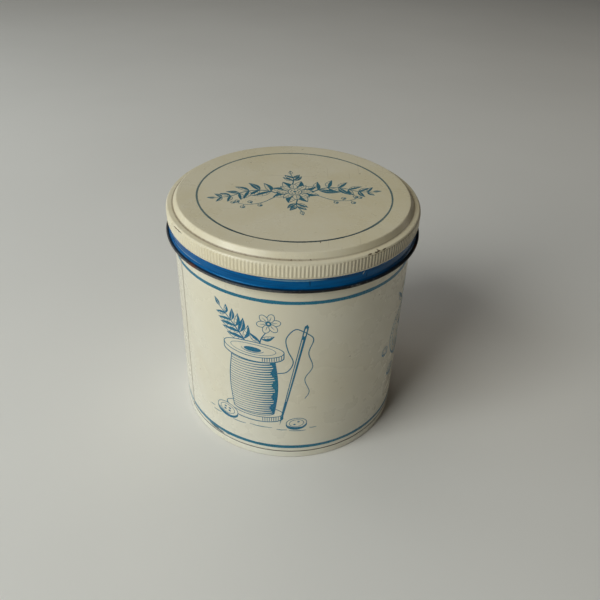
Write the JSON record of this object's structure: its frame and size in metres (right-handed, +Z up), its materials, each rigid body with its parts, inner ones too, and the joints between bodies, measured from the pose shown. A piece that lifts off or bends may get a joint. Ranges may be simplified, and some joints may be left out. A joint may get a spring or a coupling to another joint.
{
  "type": "bobbin box",
  "caption": "Round printed tinplate box with a ribbed lift-off lid, a blue band with a hemmed lip and a seamed bottom, for keeping bobbins, thread and other small sewing notions.",
  "frame": {"origin": "centre of the foot, on the surface the tin stands on", "axes": "+Z up along the tin's axis; -Y faces the viewer of the picture; the side seam is on the -X side"},
  "size_m": [0.1164, 0.1164, 0.1156],
  "materials": {
    "body_enamel": "glossy cream printing on tinplate with blue lines, bare tin inside",
    "lid_enamel": "glossy cream printing on tinplate, blue band, worn hemmed lip, bare tin inside",
    "bottom_tinplate": "cream lacquer over tinplate, worn at the foot",
    "solder": "dull grey soft solder",
    "lining_compound": "dark cured sealing compound"
  },
  "bodies": {
    "can": {"body_wall": "body_enamel", "side_seam_solder": "solder", "bottom_end": "bottom_tinplate", "bottom_seam_compound": "lining_compound"},
    "lid": {"lid_shell": "lid_enamel"}
  },
  "joints": [
    {"name": "lid_lift", "type": "slide", "parent": "can", "child": "lid", "axis": [0, 0, 1], "range_m": [0, 0.06]}
  ]
}
